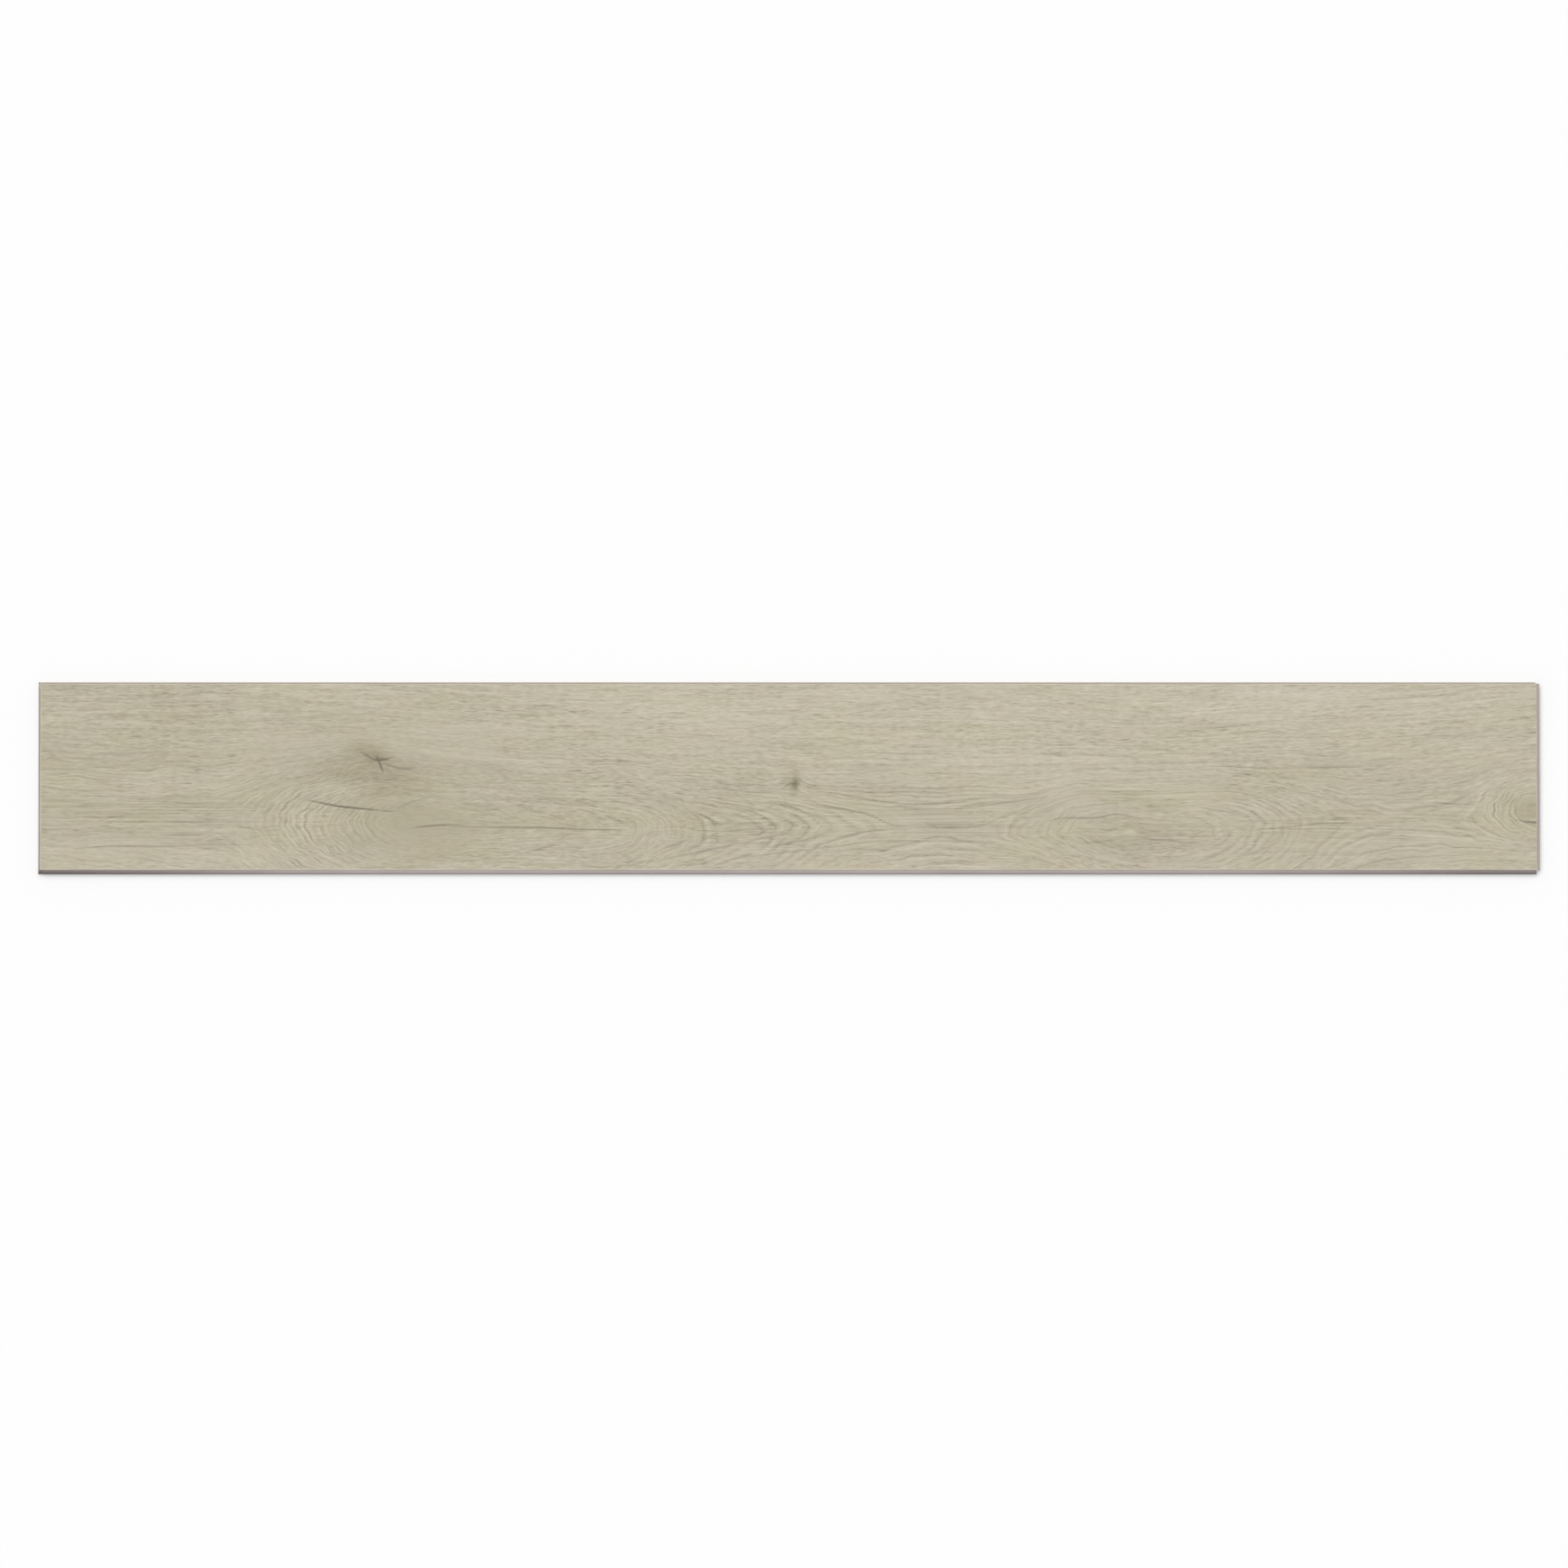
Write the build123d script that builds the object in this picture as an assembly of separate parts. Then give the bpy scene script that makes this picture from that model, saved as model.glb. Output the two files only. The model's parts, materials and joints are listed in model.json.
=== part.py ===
from build123d import *
from math import radians, tan
import os

# A rigid click-lock floor plank lying flat on its underside. Lengths are in millimetres.
# X runs along the plank, Y across it and Z up, from the centre of the underside.
# The front edge (-Y) and the right end (+X) carry a tongue. The back edge (+Y) and the left
# end (-X) carry the groove and the locking lip that take the tongue of the next plank.

# Board, measured between the joint planes, where the walking faces of two planks meet
face_length = 1220.0
face_width = 152.0
thickness = 6.5

# Bevel round the walking face
bevel_width = 0.8
bevel_drop = 0.5

# Tongues, and the board left above the groove that takes each; the end joint is the finer one
long_tongue_reach = 3.4
long_tongue_height = 2.0
long_upper_lip = 2.0
end_tongue_reach = 2.0
end_tongue_height = 1.7
end_upper_lip = 1.7
corner_relief = 0.7

# Ridge on the locking lip, which drops into a recess behind the next plank's tongue
lock_rise = 0.7
lock_angle = 50.0
ridge_width = 0.8

# Room between a tongue and its groove, and the roundings that the cutters leave
clearance = 0.15
nose_radius = 0.6
belly_radius = 1.2
root_radius = 0.4
ridge_radius = 0.2

# Distances out of the joint plane
lock_run = lock_rise / tan(radians(lock_angle))
lip_reach = lock_run + ridge_width
recess_setback = lip_reach + clearance

# The sawn blank stands this far out of every joint plane before its edges are milled
blank_margin = long_tongue_reach + end_tongue_reach + lip_reach


class ClickJoint:
    """A tongue and the groove that takes it, with heights measured up from the underside.

    An outline runs from the bevel down the edge. Each of its points is
    (distance out of the joint plane, height, rounding of that corner).
    """

    def __init__(self, tongue_reach, tongue_height, upper_lip):
        self.tongue_reach = tongue_reach
        self.tongue_height = tongue_height
        self.groove_roof = thickness - upper_lip
        self.tongue_top = self.groove_roof - clearance
        self.tongue_belly = self.tongue_top - tongue_height
        self.groove_floor = self.tongue_belly - clearance
        self.ridge_top = self.groove_floor + lock_rise
        self.recess_roof = self.ridge_top + clearance

    def tongue_edge(self):
        """Outline of the tongued edge, down to the wall behind its locking recess."""
        nose_round = min(nose_radius, self.tongue_height / 3)
        belly_round = min(belly_radius, self.tongue_height / 2, self.tongue_reach / 2)
        return [
            (-bevel_width, thickness, 0),
            (0, thickness - bevel_drop, 0),
            (0, self.tongue_top, 0),
            (self.tongue_reach, self.tongue_top, nose_round),
            (self.tongue_reach, self.tongue_belly, belly_round),
            (0, self.tongue_belly, 0),
            (-lock_run, self.recess_roof, ridge_radius),
            (-recess_setback, self.recess_roof, ridge_radius),
        ]

    def groove_edge(self):
        """Outline of the grooved edge, down to the ridge on its locking lip."""
        groove_depth = self.tongue_reach + clearance
        return [
            (-bevel_width, thickness, 0),
            (0, thickness - bevel_drop, 0),
            (0, self.groove_roof, 0),
            (-groove_depth, self.groove_roof, root_radius),
            (-groove_depth, self.groove_floor, root_radius),
            (0, self.groove_floor, 0),
            (lock_run, self.ridge_top, ridge_radius),
            (lip_reach, self.ridge_top, ridge_radius),
        ]


def milled_off(outline, joint_plane, edge_length, turn):
    """What the cutters take off one edge: all that lies outside its outline.

    The edge faces +X, at the distance of its joint plane, and is then turned about the middle.
    """
    top_out = outline[0][0]
    bottom_out = outline[-1][0]
    far = 2 * blank_margin
    points = outline + [
        (bottom_out, -far, 0),
        (far, -far, 0),
        (far, thickness + far, 0),
        (top_out, thickness + far, 0),
    ]
    corners = [(out, height) for out, height, _ in points]
    roundings = [rounding for _, _, rounding in points]
    profile = make_face(FilletPolyline(*corners, radius=roundings, close=True))
    waste = extrude(Plane.XZ * profile, amount=edge_length / 2 + far, both=True)
    return Rot(0, 0, turn) * Pos(joint_plane, 0, 0) * waste


def long_tongue_stub():
    """The last of the long tongue at the right end, which would foul the end joint."""
    stub = Box(blank_margin, blank_margin, thickness, align=(Align.MIN, Align.MAX, Align.MIN))
    return Pos(face_length / 2 - corner_relief, -face_width / 2, 0) * stub


def plank():
    """The sawn blank with its four edges milled. Chips left loose at the corners fall away."""
    board = Box(
        face_length + 2 * blank_margin,
        face_width + 2 * blank_margin,
        thickness,
        align=(Align.CENTER, Align.CENTER, Align.MIN),
    )
    long_joint = ClickJoint(long_tongue_reach, long_tongue_height, long_upper_lip)
    end_joint = ClickJoint(end_tongue_reach, end_tongue_height, end_upper_lip)
    board -= milled_off(long_joint.tongue_edge(), face_width / 2, face_length, -90)
    board -= milled_off(long_joint.groove_edge(), face_width / 2, face_length, 90)
    board -= milled_off(end_joint.tongue_edge(), face_length / 2, face_width, 0)
    board -= milled_off(end_joint.groove_edge(), face_length / 2, face_width, 180)
    board -= long_tongue_stub()
    return max(board.solids(), key=lambda solid: solid.volume)


os.makedirs("parts", exist_ok=True)
export_step(plank(), "parts/plank.step")
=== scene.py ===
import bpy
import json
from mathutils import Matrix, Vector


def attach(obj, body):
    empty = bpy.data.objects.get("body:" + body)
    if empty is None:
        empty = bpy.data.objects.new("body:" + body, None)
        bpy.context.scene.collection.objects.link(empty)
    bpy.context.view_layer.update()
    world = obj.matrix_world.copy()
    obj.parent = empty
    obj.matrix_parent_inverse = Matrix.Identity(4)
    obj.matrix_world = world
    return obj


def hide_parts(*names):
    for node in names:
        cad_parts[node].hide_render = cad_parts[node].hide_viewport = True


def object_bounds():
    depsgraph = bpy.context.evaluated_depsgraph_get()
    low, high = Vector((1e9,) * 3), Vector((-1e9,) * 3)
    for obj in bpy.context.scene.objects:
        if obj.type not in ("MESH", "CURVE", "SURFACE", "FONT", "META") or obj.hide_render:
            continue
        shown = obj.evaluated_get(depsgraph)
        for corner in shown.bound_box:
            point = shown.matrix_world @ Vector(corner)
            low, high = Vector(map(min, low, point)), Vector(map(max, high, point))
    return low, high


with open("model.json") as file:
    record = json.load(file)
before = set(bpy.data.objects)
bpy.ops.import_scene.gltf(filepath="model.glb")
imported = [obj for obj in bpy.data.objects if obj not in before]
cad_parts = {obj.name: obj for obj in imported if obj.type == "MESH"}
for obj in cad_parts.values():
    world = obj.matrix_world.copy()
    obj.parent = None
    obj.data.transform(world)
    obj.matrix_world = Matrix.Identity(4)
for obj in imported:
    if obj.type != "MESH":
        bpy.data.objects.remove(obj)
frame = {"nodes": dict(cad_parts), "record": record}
cad_box = [list(corner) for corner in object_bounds()]

import json
from math import cos, pi, radians, sin

import bmesh
import bpy
import numpy as np
from mathutils import Vector

# A pale oak-look floor plank lying flat on a white floor, seen from almost straight above.
# Lengths in this script are in metres, and the layout of the grain is in millimetres.
MM = 0.001
NODE = "plank"

# Corners this close in metres are one, and an edge bent by more degrees than this is sharp
TOGETHER = 1e-6
SHARP_ANGLE = 20.0

# Finishes of the board, in the order in which its mesh holds them
FACE, BEVEL, EDGE, UNDERSIDE = range(4)

# The printed face: its grid, the places along the plank where the grid is finer, as (x, half length,
# extra share of columns), the border where its relief fades out and the depths of that relief
FACE_CELLS = (445, 220)
FINE_COLUMNS = [(-326, 32, 2.2), (4, 14, 1.0), (280, 60, 0.6)]
RELIEF_BORDER = 4.0
RING_RELIEF = 0.03
CRACK_RELIEF = 0.25
KNOT_RELIEF = 0.10

# Growth rings: their width, the distance from the pith at which their count starts, and the places
# where they are wider, as (x, y, half length, half width, extra width)
RING_WIDTH = 1.5
FIRST_RING = 30.0
WIDE_RINGS = [
    (-375, -34, 55, 34, 0.8),
    (365, -40, 45, 34, 0.7),
]

# The pith runs along the plank below its face. Its depth is given as (x, depth), with the depth that
# counts far from it, and its line as (x, y).
PITH_REST = 46.0
PITH_DEPTH = [
    (-612, 52), (-520, 52), (-422, 44), (-380, 30), (-327, 8), (-261, 6), (-200, 12), (-150, 15),
    (-130, 18), (-117, 22), (-95, 28), (-78, 31.5), (-61, 34), (-18, 39), (29, 44), (83, 48), (128, 50),
    (158, 48), (206, 40), (240, 33), (275, 29), (334, 33), (382, 42), (415, 47), (459, 51),
    (612, 50),
]
PITH_LINE = [
    (-612, -32), (-390, -34), (-327, -36), (-261, -40), (-190, -43), (-77, -42), (80, -40.5),
    (206, -42), (275, -46), (382, -41), (459, -38), (560, -31), (612, -27),
]

# How far to both sides of its line the pith's depth bends the rings: (x, distance)
FLAME_REACH = [
    (-612, 62), (-60, 62), (-10, 62), (50, 20), (90, 20),
    (150, 20), (190, 20), (245, 62), (300, 62), (612, 62),
]

# The rings grew wider in front of the pith than behind it: (x, rate at which they are crossed there)
FRONT_RATE = [
    (-612, 0.9), (-430, 0.7), (-340, 0.7), (-260, 0.9), (-140, 0.75), (-80, 0.65),
    (20, 0.65), (60, 0.9), (90, 0.95), (140, 1.0), (290, 0.95), (345, 0.65),
    (400, 0.65), (470, 0.9), (612, 1.0),
]

# Waves of the rings, slow and quick, each with its step as (length, width). They weaken away from the
# pith, and the slow ones are higher in some places: (x, y, half length, half width, extra height)
SLOW_WAVES = 0.3
SLOW_STEP = (30, 22)
QUICK_WAVES = 0.3
QUICK_STEP = (14, 7)
WAVES_AFAR = 0.25
WAVE_REACH = 45.0
WAVY = [
    (-530, -30, 110, 55, 0.9),
    (500, -40, 90, 45, 0.8),
]

# Drifts of the rings along the plank and outwards, and of the fibres across it, each with its step
ALONG_DRIFT = 1.1
ALONG_STEP = (40, 12)
RING_DRIFT = 0.40
RING_STEP = (150, 26)
FIBRE_DRIFT = 0.9
FIBRE_STEP = (420, 60)

# How plainly the rings show along the plank, as (x, share), and what is left of that away from the pith
PLAIN_REACH = 34.0
PLAIN_AFAR = 0.30
RINGS_SHOWN = [
    (-612, 0.25), (-470, 0.25), (-425, 0.4), (-405, 0.8), (-360, 0.8), (-335, 0.4), (-300, 0.1),
    (-240, 0.2), (-205, 0.4), (-150, 0.4), (-130, 0.12), (-105, 0.12), (-88, 0.4), (-72, 0.75),
    (-30, 0.85), (20, 0.85), (50, 0.6), (90, 0.85), (140, 0.85), (165, 0.7), (195, 0.35), (215, 0.16),
    (260, 0.15), (300, 0.2), (335, 0.4), (360, 0.5), (375, 0.7), (400, 0.4), (430, 0.4),
    (480, 0.6), (555, 0.6), (580, 0.6), (612, 0.6),
]

# Knots: (x, y, half length, half width, how far the rings bulge, how far the fibres spread). The fibres
# spread over a place this much longer and wider than the knot.
SPREAD_SIZE = (2.2, 1.6)
KNOTS = [
    (-334, 12, 26, 11, 9.0, 0.55),
    (4, -5.6, 9, 5, 3.5, 0.75),
    (611, -26, 36, 32, 14.0, 0.35),
]

# Smudges: (x, y, half length, half width, darkness), with light ones below zero. They wander by this
# much along and across the plank, in these steps.
SMUDGE_WANDER = (1.2, 0.6)
SMUDGE_STEP = (30, 12)
SMUDGES = [
    (-314, -20, 52, 46, 0.38),
    (-340, 2, 32, 13, 0.34),
    (-350, -54, 25, 10, 0.18),
    (-322, -8, 30, 12, 0.20),
    (-352, 22, 17, 8, 0.46),
    (-336, 18, 11, 5.0, 0.36),
    (-334, 11, 24, 7, 0.20),
    (-334, 13.4, 4.5, 2.4, 0.36),
    (-362, 1, 16, 6, 0.18),
    (-380, 10, 22, 10, 0.42),
    (-405, -5, 22, 9, 0.26),
    (-428, -20, 18, 9, 0.14),
    (-285, -58, 40, 14, 0.24),
    (-392, -42, 28, 18, -0.08),
    (-404, -36, 5, 20, -0.16),
    (-520, 45, 150, 30, 0.24),
    (-550, 12, 80, 12, 0.32),
    (-510, -22, 110, 14, 0.26),
    (-460, -66, 60, 9, -0.20),
    (-240, 3, 50, 8, 0.16),
    (-190, -3, 50, 8, 0.24),
    (-245, -38, 80, 15, 0.22),
    (-115, 20, 40, 8, -0.22),
    (0, -42, 640, 34, 0.20),
    (4.2, -5.6, 5.0, 7.6, 1.15),
    (3.4, -4.6, 1.5, 1.8, -0.45),
    (-10, -8, 14, 2.0, 0.22),
    (17, -8, 10, 2.0, 0.20),
    (80, -57, 90, 7, -0.16),
    (115, -40, 45, 5, 0.32),
    (235, 5, 40, 28, -0.22),
    (224, -50, 3.4, 1.6, 0.75),
    (278, -45.5, 5.5, 2.4, -0.75),
    (264, -48, 5.0, 1.6, -0.45),
    (285, -45, 40, 13, 0.26),
    (285, -58, 22, 16, 0.26),
    (430, 2, 80, 16, 0.18),
    (435, -42, 40, 12, 0.14),
    (603, -26, 15, 10, 0.60),
    (-80, 62, 110, 18, -0.24),
    (380, 64, 260, 20, -0.34),
    (170, 18, 70, 14, -0.16),
]

# Quiet places with little grain: (x, y, half length, half width, how much of it is gone)
QUIET = [
    (-303, -40, 52, 28, 0.75),
    (-290, 22, 50, 26, 0.50),
    (-390, 28, 46, 22, 0.45),
    (275, -46, 26, 8, 0.40),
    (606, -27, 13, 11, 0.50),
]

# Places where the lines run on unbroken: (x, y, half length, half width, how far)
UNBROKEN = [
    (115, -34, 100, 28, 1.0),
    (270, -14, 110, 14, 0.9),
    (-540, -25, 110, 42, 0.75),
    (510, -30, 90, 45, 0.5),
    (470, -62, 110, 14, 0.6),
]

# Cracks and dark streaks: (darkness, half width, points along it). Each tapers to a share of its width.
CRACK_END = 0.4
CRACKS = [
    # Long cracks in front of the star, and the star
    (0.90, 1.0, [
        (-397, -18.2), (-383, -20.9), (-371, -23.4), (-357, -25.2), (-340, -26.8), (-329, -27.8),
    ]),
    (0.65, 0.8, [(-334, -27.5), (-327, -28.0), (-319, -28.2)]),
    (0.48, 0.9, [(-322, -28.6), (-314, -23.5), (-307, -20.4), (-294, -18.0)]),
    (0.68, 1.0, [(-310, -42.1), (-295, -40.5), (-276, -39.4), (-262, -40.2)]),
    (0.66, 0.9, [(-278, -41.0), (-231, -41.4), (-202, -41.8), (-165, -43.2), (-132, -43.6)]),
    (0.55, 1.2, [(-151, -31.5), (-142, -34.0), (-133, -39.0)]),
    (0.70, 1.4, [(-351, 21.2), (-343, 16.9), (-339, 14.6), (-335, 13.3), (-329, 14.2), (-320, 16.6)]),
    (0.80, 3.2, [(-336, 16.5), (-333.6, 11.8), (-332, 8.2), (-329.6, 3.0)]),
    (0.54, 1.6, [(-331, 12.0), (-326, 9.8), (-320, 7.5), (-314, 6.7), (-300, 7.6)]),
    (0.48, 1.0, [(-352, 11.2), (-343, 11.8), (-334, 12.6)]),
    # Lines at the left
    (0.56, 1.0, [(-583, -58.6), (-546, -56.5), (-521, -57.0), (-487, -57.0)]),
    (0.50, 1.0, [(-516, -47.9), (-496, -47.4), (-473, -47.9)]),
    (0.50, 1.0, [(-513, -35.8), (-492, -37.0), (-472, -37.8)]),
    (0.48, 1.0, [(-569, -38.8), (-557, -34.4), (-545, -32.0), (-528, -30.8)]),
    (0.48, 1.0, [(-618, -6.0), (-590, -10.6), (-564, -12.0)]),
    (0.50, 0.9, [(-618, 6.5), (-585, 6.1), (-564, 6.5)]),
    (0.42, 1.0, [(-521, 10.8), (-502, 12.6), (-482, 14.4)]),
    (0.50, 1.0, [(-457, -39.0), (-440, -41.8), (-424, -44.3)]),
    # Lines from the small knot to the waist
    (0.38, 1.1, [(-112, 5.9), (-93, 3.6), (-67, -2.1), (-47, -6.0), (-27, -7.0), (-8, -6.6)]),
    (0.52, 1.1, [(-69, -7.5), (-47, -10.9), (-27, -13.1), (-12, -12.3), (-2, -8.3)]),
    (0.64, 1.1, [(8, -12.6), (24, -22.1), (48, -27.0), (68, -31.9), (82, -38.6), (100, -41.4)]),
    (0.48, 1.0, [(88, -40.6), (122, -41.7), (146, -41.2), (163, -38.0), (174, -33.0), (206, -28.5)]),
    (0.58, 1.0, [(16, -10.0), (61, -17.9), (90, -22.0), (134, -21.4), (160, -19.0)]),
    (0.48, 1.0, [(130, -27.4), (154, -24.5), (178, -20.9), (212, -16.4)]),
    (0.56, 1.0, [(36, -50.5), (61, -45.4), (84, -42.4)]),
    (0.46, 1.0, [(-14, -64.4), (43, -56.2), (73, -52.6), (114, -52.5), (158, -53.7), (208, -63.1)]),
    # Swirl
    (0.56, 1.1, [
        (207, -43.0), (211, -37.4), (218, -34.7), (235, -33.7), (249, -33.6), (266, -30.6), (290, -35.4),
    ]),
    (0.48, 1.0, [(231, -54.2), (247, -53.7), (256, -52.6), (268, -51.0), (274, -48.2)]),
    (0.56, 1.0, [(284, -49.2), (300, -51.6), (310, -51.6), (320, -53.3), (337, -54.9)]),
    (0.42, 0.9, [(249, -37.6), (258, -37.2), (272, -40.8)]),
    (0.54, 0.9, [(252, -42.6), (262, -43.8), (270, -41.8)]),
    (0.48, 0.9, [(284, -41.0), (294, -44.2), (306, -45.0)]),
    (0.44, 1.4, [(334, -25.0), (350, -27.5), (360, -29.3), (370, -32.3), (378, -38.0)]),
    (0.45, 1.5, [(331, -69.8), (348, -63.7), (363, -55.0), (373, -45.4), (380, -42.5)]),
    (0.50, 1.0, [(372, -45.0), (384, -43.2), (400, -41.9), (430, -38.6), (462, -37.2)]),
    # Lines at the right
    (0.50, 1.3, [(412, 7.5), (426, 7.3), (440, 7.8), (456, 7.9), (470, 7.5)]),
    (0.44, 0.8, [(363, 7.8), (385, 7.2), (420, 6.8)]),
    (0.42, 1.0, [(413, 18.0), (432, 17.0), (451, 17.0)]),
    (0.46, 1.0, [(455, 61.8), (510, 64.8), (553, 68.0)]),
    (0.52, 1.1, [(460, 56.6), (470, 57.0), (480, 56.6)]),
    (0.40, 1.0, [(480, 31.8), (520, 33.8), (548, 33.0), (578, 35.0)]),
    (0.40, 1.2, [(519, -19.4), (549, -4.8), (570, 5.2), (590, 9.8), (618, 11.6)]),
    (0.38, 1.1, [(494, -38.4), (517, -29.6), (540, -24.7), (564, -21.8)]),
    (0.56, 1.0, [(518, -20.8), (535, -22.0), (562, -22.8)]),
    (0.52, 1.0, [(462, -27.0), (476, -28.0), (490, -32.4)]),
    # Arrow at the end of the long crack
    (0.48, 1.3, [(-205, -17.0), (-190, -20.5), (-180, -24.0)]),
    (0.46, 1.3, [(-178, -19.0), (-169, -21.0), (-155, -24.5)]),
    (0.50, 1.3, [(-174, -25.6), (-165, -28.0), (-155, -30.5)]),
    (0.50, 1.3, [(-228, -21.5), (-214, -25.5), (-204, -28.8), (-196, -30.5)]),
    (0.50, 1.3, [(-197, -30.5), (-188, -33.4), (-181, -34.8)]),
    (0.48, 1.3, [(-215, -62.5), (-200, -58.0), (-187, -54.8)]),
    (0.36, 1.0, [(-190, -60.0), (-176, -57.5), (-163, -56.0)]),
    (0.36, 1.0, [(-162, -54.0), (-153, -51.6), (-146, -49.6)]),
    # Chevrons
    (0.52, 1.5, [(-81, -27.0), (-70, -31.2), (-62, -35.5), (-53, -40.0)]),
    (0.48, 1.5, [(-104, -58.0), (-90, -54.6), (-82, -50.6), (-76, -44.0)]),
    (0.48, 1.4, [(-73, -52.5), (-64, -49.0), (-55, -44.5)]),
    (0.50, 1.3, [(-108, -69.0), (-90, -65.0), (-77, -62.3), (-62, -59.0), (-46, -55.6), (-34, -50.5)]),
    (0.52, 1.5, [(-38, -26.8), (-26, -29.6), (-19, -34.0), (-12, -38.0)]),
    (0.52, 1.5, [(-33, -47.8), (-23, -46.4), (-14, -42.0)]),
    (0.54, 1.3, [(-22, -20.4), (-8, -22.4), (4, -25.2), (15, -30.0)]),
    (0.46, 1.3, [(-38, -54.5), (-22, -50.4), (-5, -47.4), (8, -45.0)]),
    (0.50, 1.6, [(14, -29.5), (20, -33.5), (24, -38.5), (31, -44.0)]),
    (0.50, 1.3, [(-22, -58.5), (-4, -55.2), (12, -52.0), (22, -48.6), (33, -44.4)]),
    (0.42, 1.2, [(-62, -69.0), (-40, -66.2), (-18, -63.6), (4, -60.8), (24, -58.4), (44, -57.2)]),
    # Round the swirl and below the waist
    (0.40, 1.3, [(364, -66.0), (378, -62.5), (388, -58.0), (404, -51.8)]),
    (0.42, 1.2, [(329, -48.0), (335, -45.6), (342, -43.2)]),
    (0.44, 1.3, [(346, -46.6), (351, -44.8), (357, -43.6)]),
    (0.42, 1.3, [(343, -56.0), (348, -52.2), (355, -49.2)]),
    (0.42, 1.3, [(349, -37.0), (354, -39.2), (360, -41.4)]),
    (0.36, 1.0, [(334, -65.8), (345, -64.4), (353, -61.8), (361, -59.6)]),
    (0.48, 1.0, [(76, -54.4), (90, -52.8), (101, -53.2)]),
    (0.48, 1.0, [(40, -60.4), (58, -59.2), (72, -59.6), (90, -59.4)]),
    (0.44, 0.9, [(108, -59.6), (140, -59.6), (170, -60.6), (190, -63.5)]),
    (0.36, 0.9, [(78, -64.2), (92, -63.6), (110, -63.6)]),
    (0.36, 0.9, [(126, -68.8), (140, -69.2), (154, -68.4)]),
    (0.40, 1.0, [(178, -47.4), (188, -48.6), (198, -50.2), (206, -54.5)]),
    (0.36, 1.2, [(202, -49.0), (207, -56.0), (214, -60.0), (230, -62.0)]),
    (0.36, 0.9, [(260, -25.4), (278, -25.7), (298, -26.6)]),
    # Short lines at the left
    (0.36, 0.9, [(-608, 1.4), (-588, 0.8), (-568, 0.0)]),
    (0.42, 0.8, [(-548, 4.6), (-530, 5.2), (-506, 5.0)]),
    (0.46, 1.0, [(-510, -19.4), (-496, -21.4), (-482, -23.0)]),
    (0.38, 1.0, [(-580, -27.2), (-566, -26.2), (-550, -26.0)]),
    (0.48, 1.0, [(-576, -33.0), (-566, -33.3), (-557, -34.2)]),
    (0.42, 0.9, [(-550, -37.0), (-530, -37.0), (-512, -36.4)]),
    (0.42, 0.9, [(-592, -48.8), (-578, -47.8), (-564, -47.6)]),
    (0.36, 0.9, [(-562, -53.4), (-548, -52.2), (-532, -51.8)]),
    (0.42, 1.0, [(-626, -40.0), (-608, -39.8), (-594, -40.0)]),
    # Knot at the right end
    (0.75, 1.1, [(590, -34.2), (599, -36.5), (622, -37.0)]),
]

# Noise of the print. One step of it is (length along the plank, width outwards from the pith, breadth
# across the plank) in millimetres, or (length, width) where it follows the fibres or the plank alone.
CLOUDS = (190, 30)
BANDS = (110, 5.0, 60)
THREADS = (45, 1.4, 30)
STROKES = (6.5, 1.15, 8)
LONG_LINES = (160, 1.5, 60)
DASHES = (16, 1.2, 16)
PORES = (9, 0.42)
PATCHES = (90, 22)
RING_STROKES = (7.0, 0.9)
RING_GAPS = (20, 2.4, 10)
YELLOW_PATCHES = (90, 24)
PINK_PATCHES = (40, 22)
TORN_EDGE = (3.0, 1.0)

# How far each moves the print's tone, which runs from 0 to 1
TONE_MIDDLE = 0.50
CLOUD_SWING = 0.20
BAND_SWING = 0.15
THREAD_SWING = 0.70
STROKE_SWING = 0.78
LONG_LINE_SWING = 0.75
DASH_DEPTH = 0.28
PORE_DEPTH = 0.34
DARK_LINE = 0.42
LIGHT_LINE = 0.30
SHADE_DEPTH = 0.35

# The dark and the light line of a ring: their places in it, their half width in millimetres and limits
DARK_PHASE = 0.32
LIGHT_PHASE = 0.76
RING_LINE_WIDTH = 2.1
WIDEST_RING_LINE = 0.30
LEAST_RING_RATE = 0.06

# Colours as the eye reads them, from 0 to 255
GRAIN_DARK = (150, 141, 120)
FACE_MID = (189, 182, 162)
FACE_LIGHT = (212, 206, 189)
# Bevel colours: paler than the face, partly the print stretched over the bevels and partly painted
# highlight; the palest is a painted highlight along the front
BEVEL_DARK = (207, 200, 181)
BEVEL_HIGHLIGHT = (222, 215, 199)
KNOT_BROWN = (118, 109, 91)
CRACK_BROWN = (100, 91, 77)
CORE_LIGHT = (206, 198, 191)
CORE_GREY = (160, 151, 147)
# The core's colour in painted shade, reached only on the front tongue towards its tip and the plank's ends
CORE_SHADE = (106, 98, 94)
UNDERSIDE_GREY = (150, 146, 142)

# Tints of the print in soft patches: the shares of red, green and blue that they leave
YELLOW_TINT = (1.0, 1.0, 0.93)
PINK_TINT = (1.03, 0.985, 1.0)

# Finishes: gloss of the face and of the bare board, and depths of their texture in millimetres
FACE_GLOSS = 0.30
BOARD_GLOSS = 0.20
PRINT_EMBOSS = 0.06
SPECK_DEPTH = 0.05
PRESS_DEPTH = 0.04

# Texture of the bare board: specks and milling lines in a millimetre, and how far a line runs on
SPECKS = 2.2
MILLING_LINES = 3.0
MILLING_LENGTH = 60

# The photograph: a square picture this many pixels wide, with the face's middle a little off its own
PICTURE_PIXELS = 1740
FACE_MIDDLE_PIXEL = (875.15, 861.9)
MM_PER_PIXEL = 0.7342
CAMERA_ELEVATION = 87.0
CAMERA_DISTANCE = 12.0

# Floor: half its side in metres, its gap below the plank in millimetres, its paint and its glow
FLOOR_HALF = 12.0
FLOOR_GAP = 0.1
FLOOR_PAINT = 0.85
FLOOR_GLOW = 0.14

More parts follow.
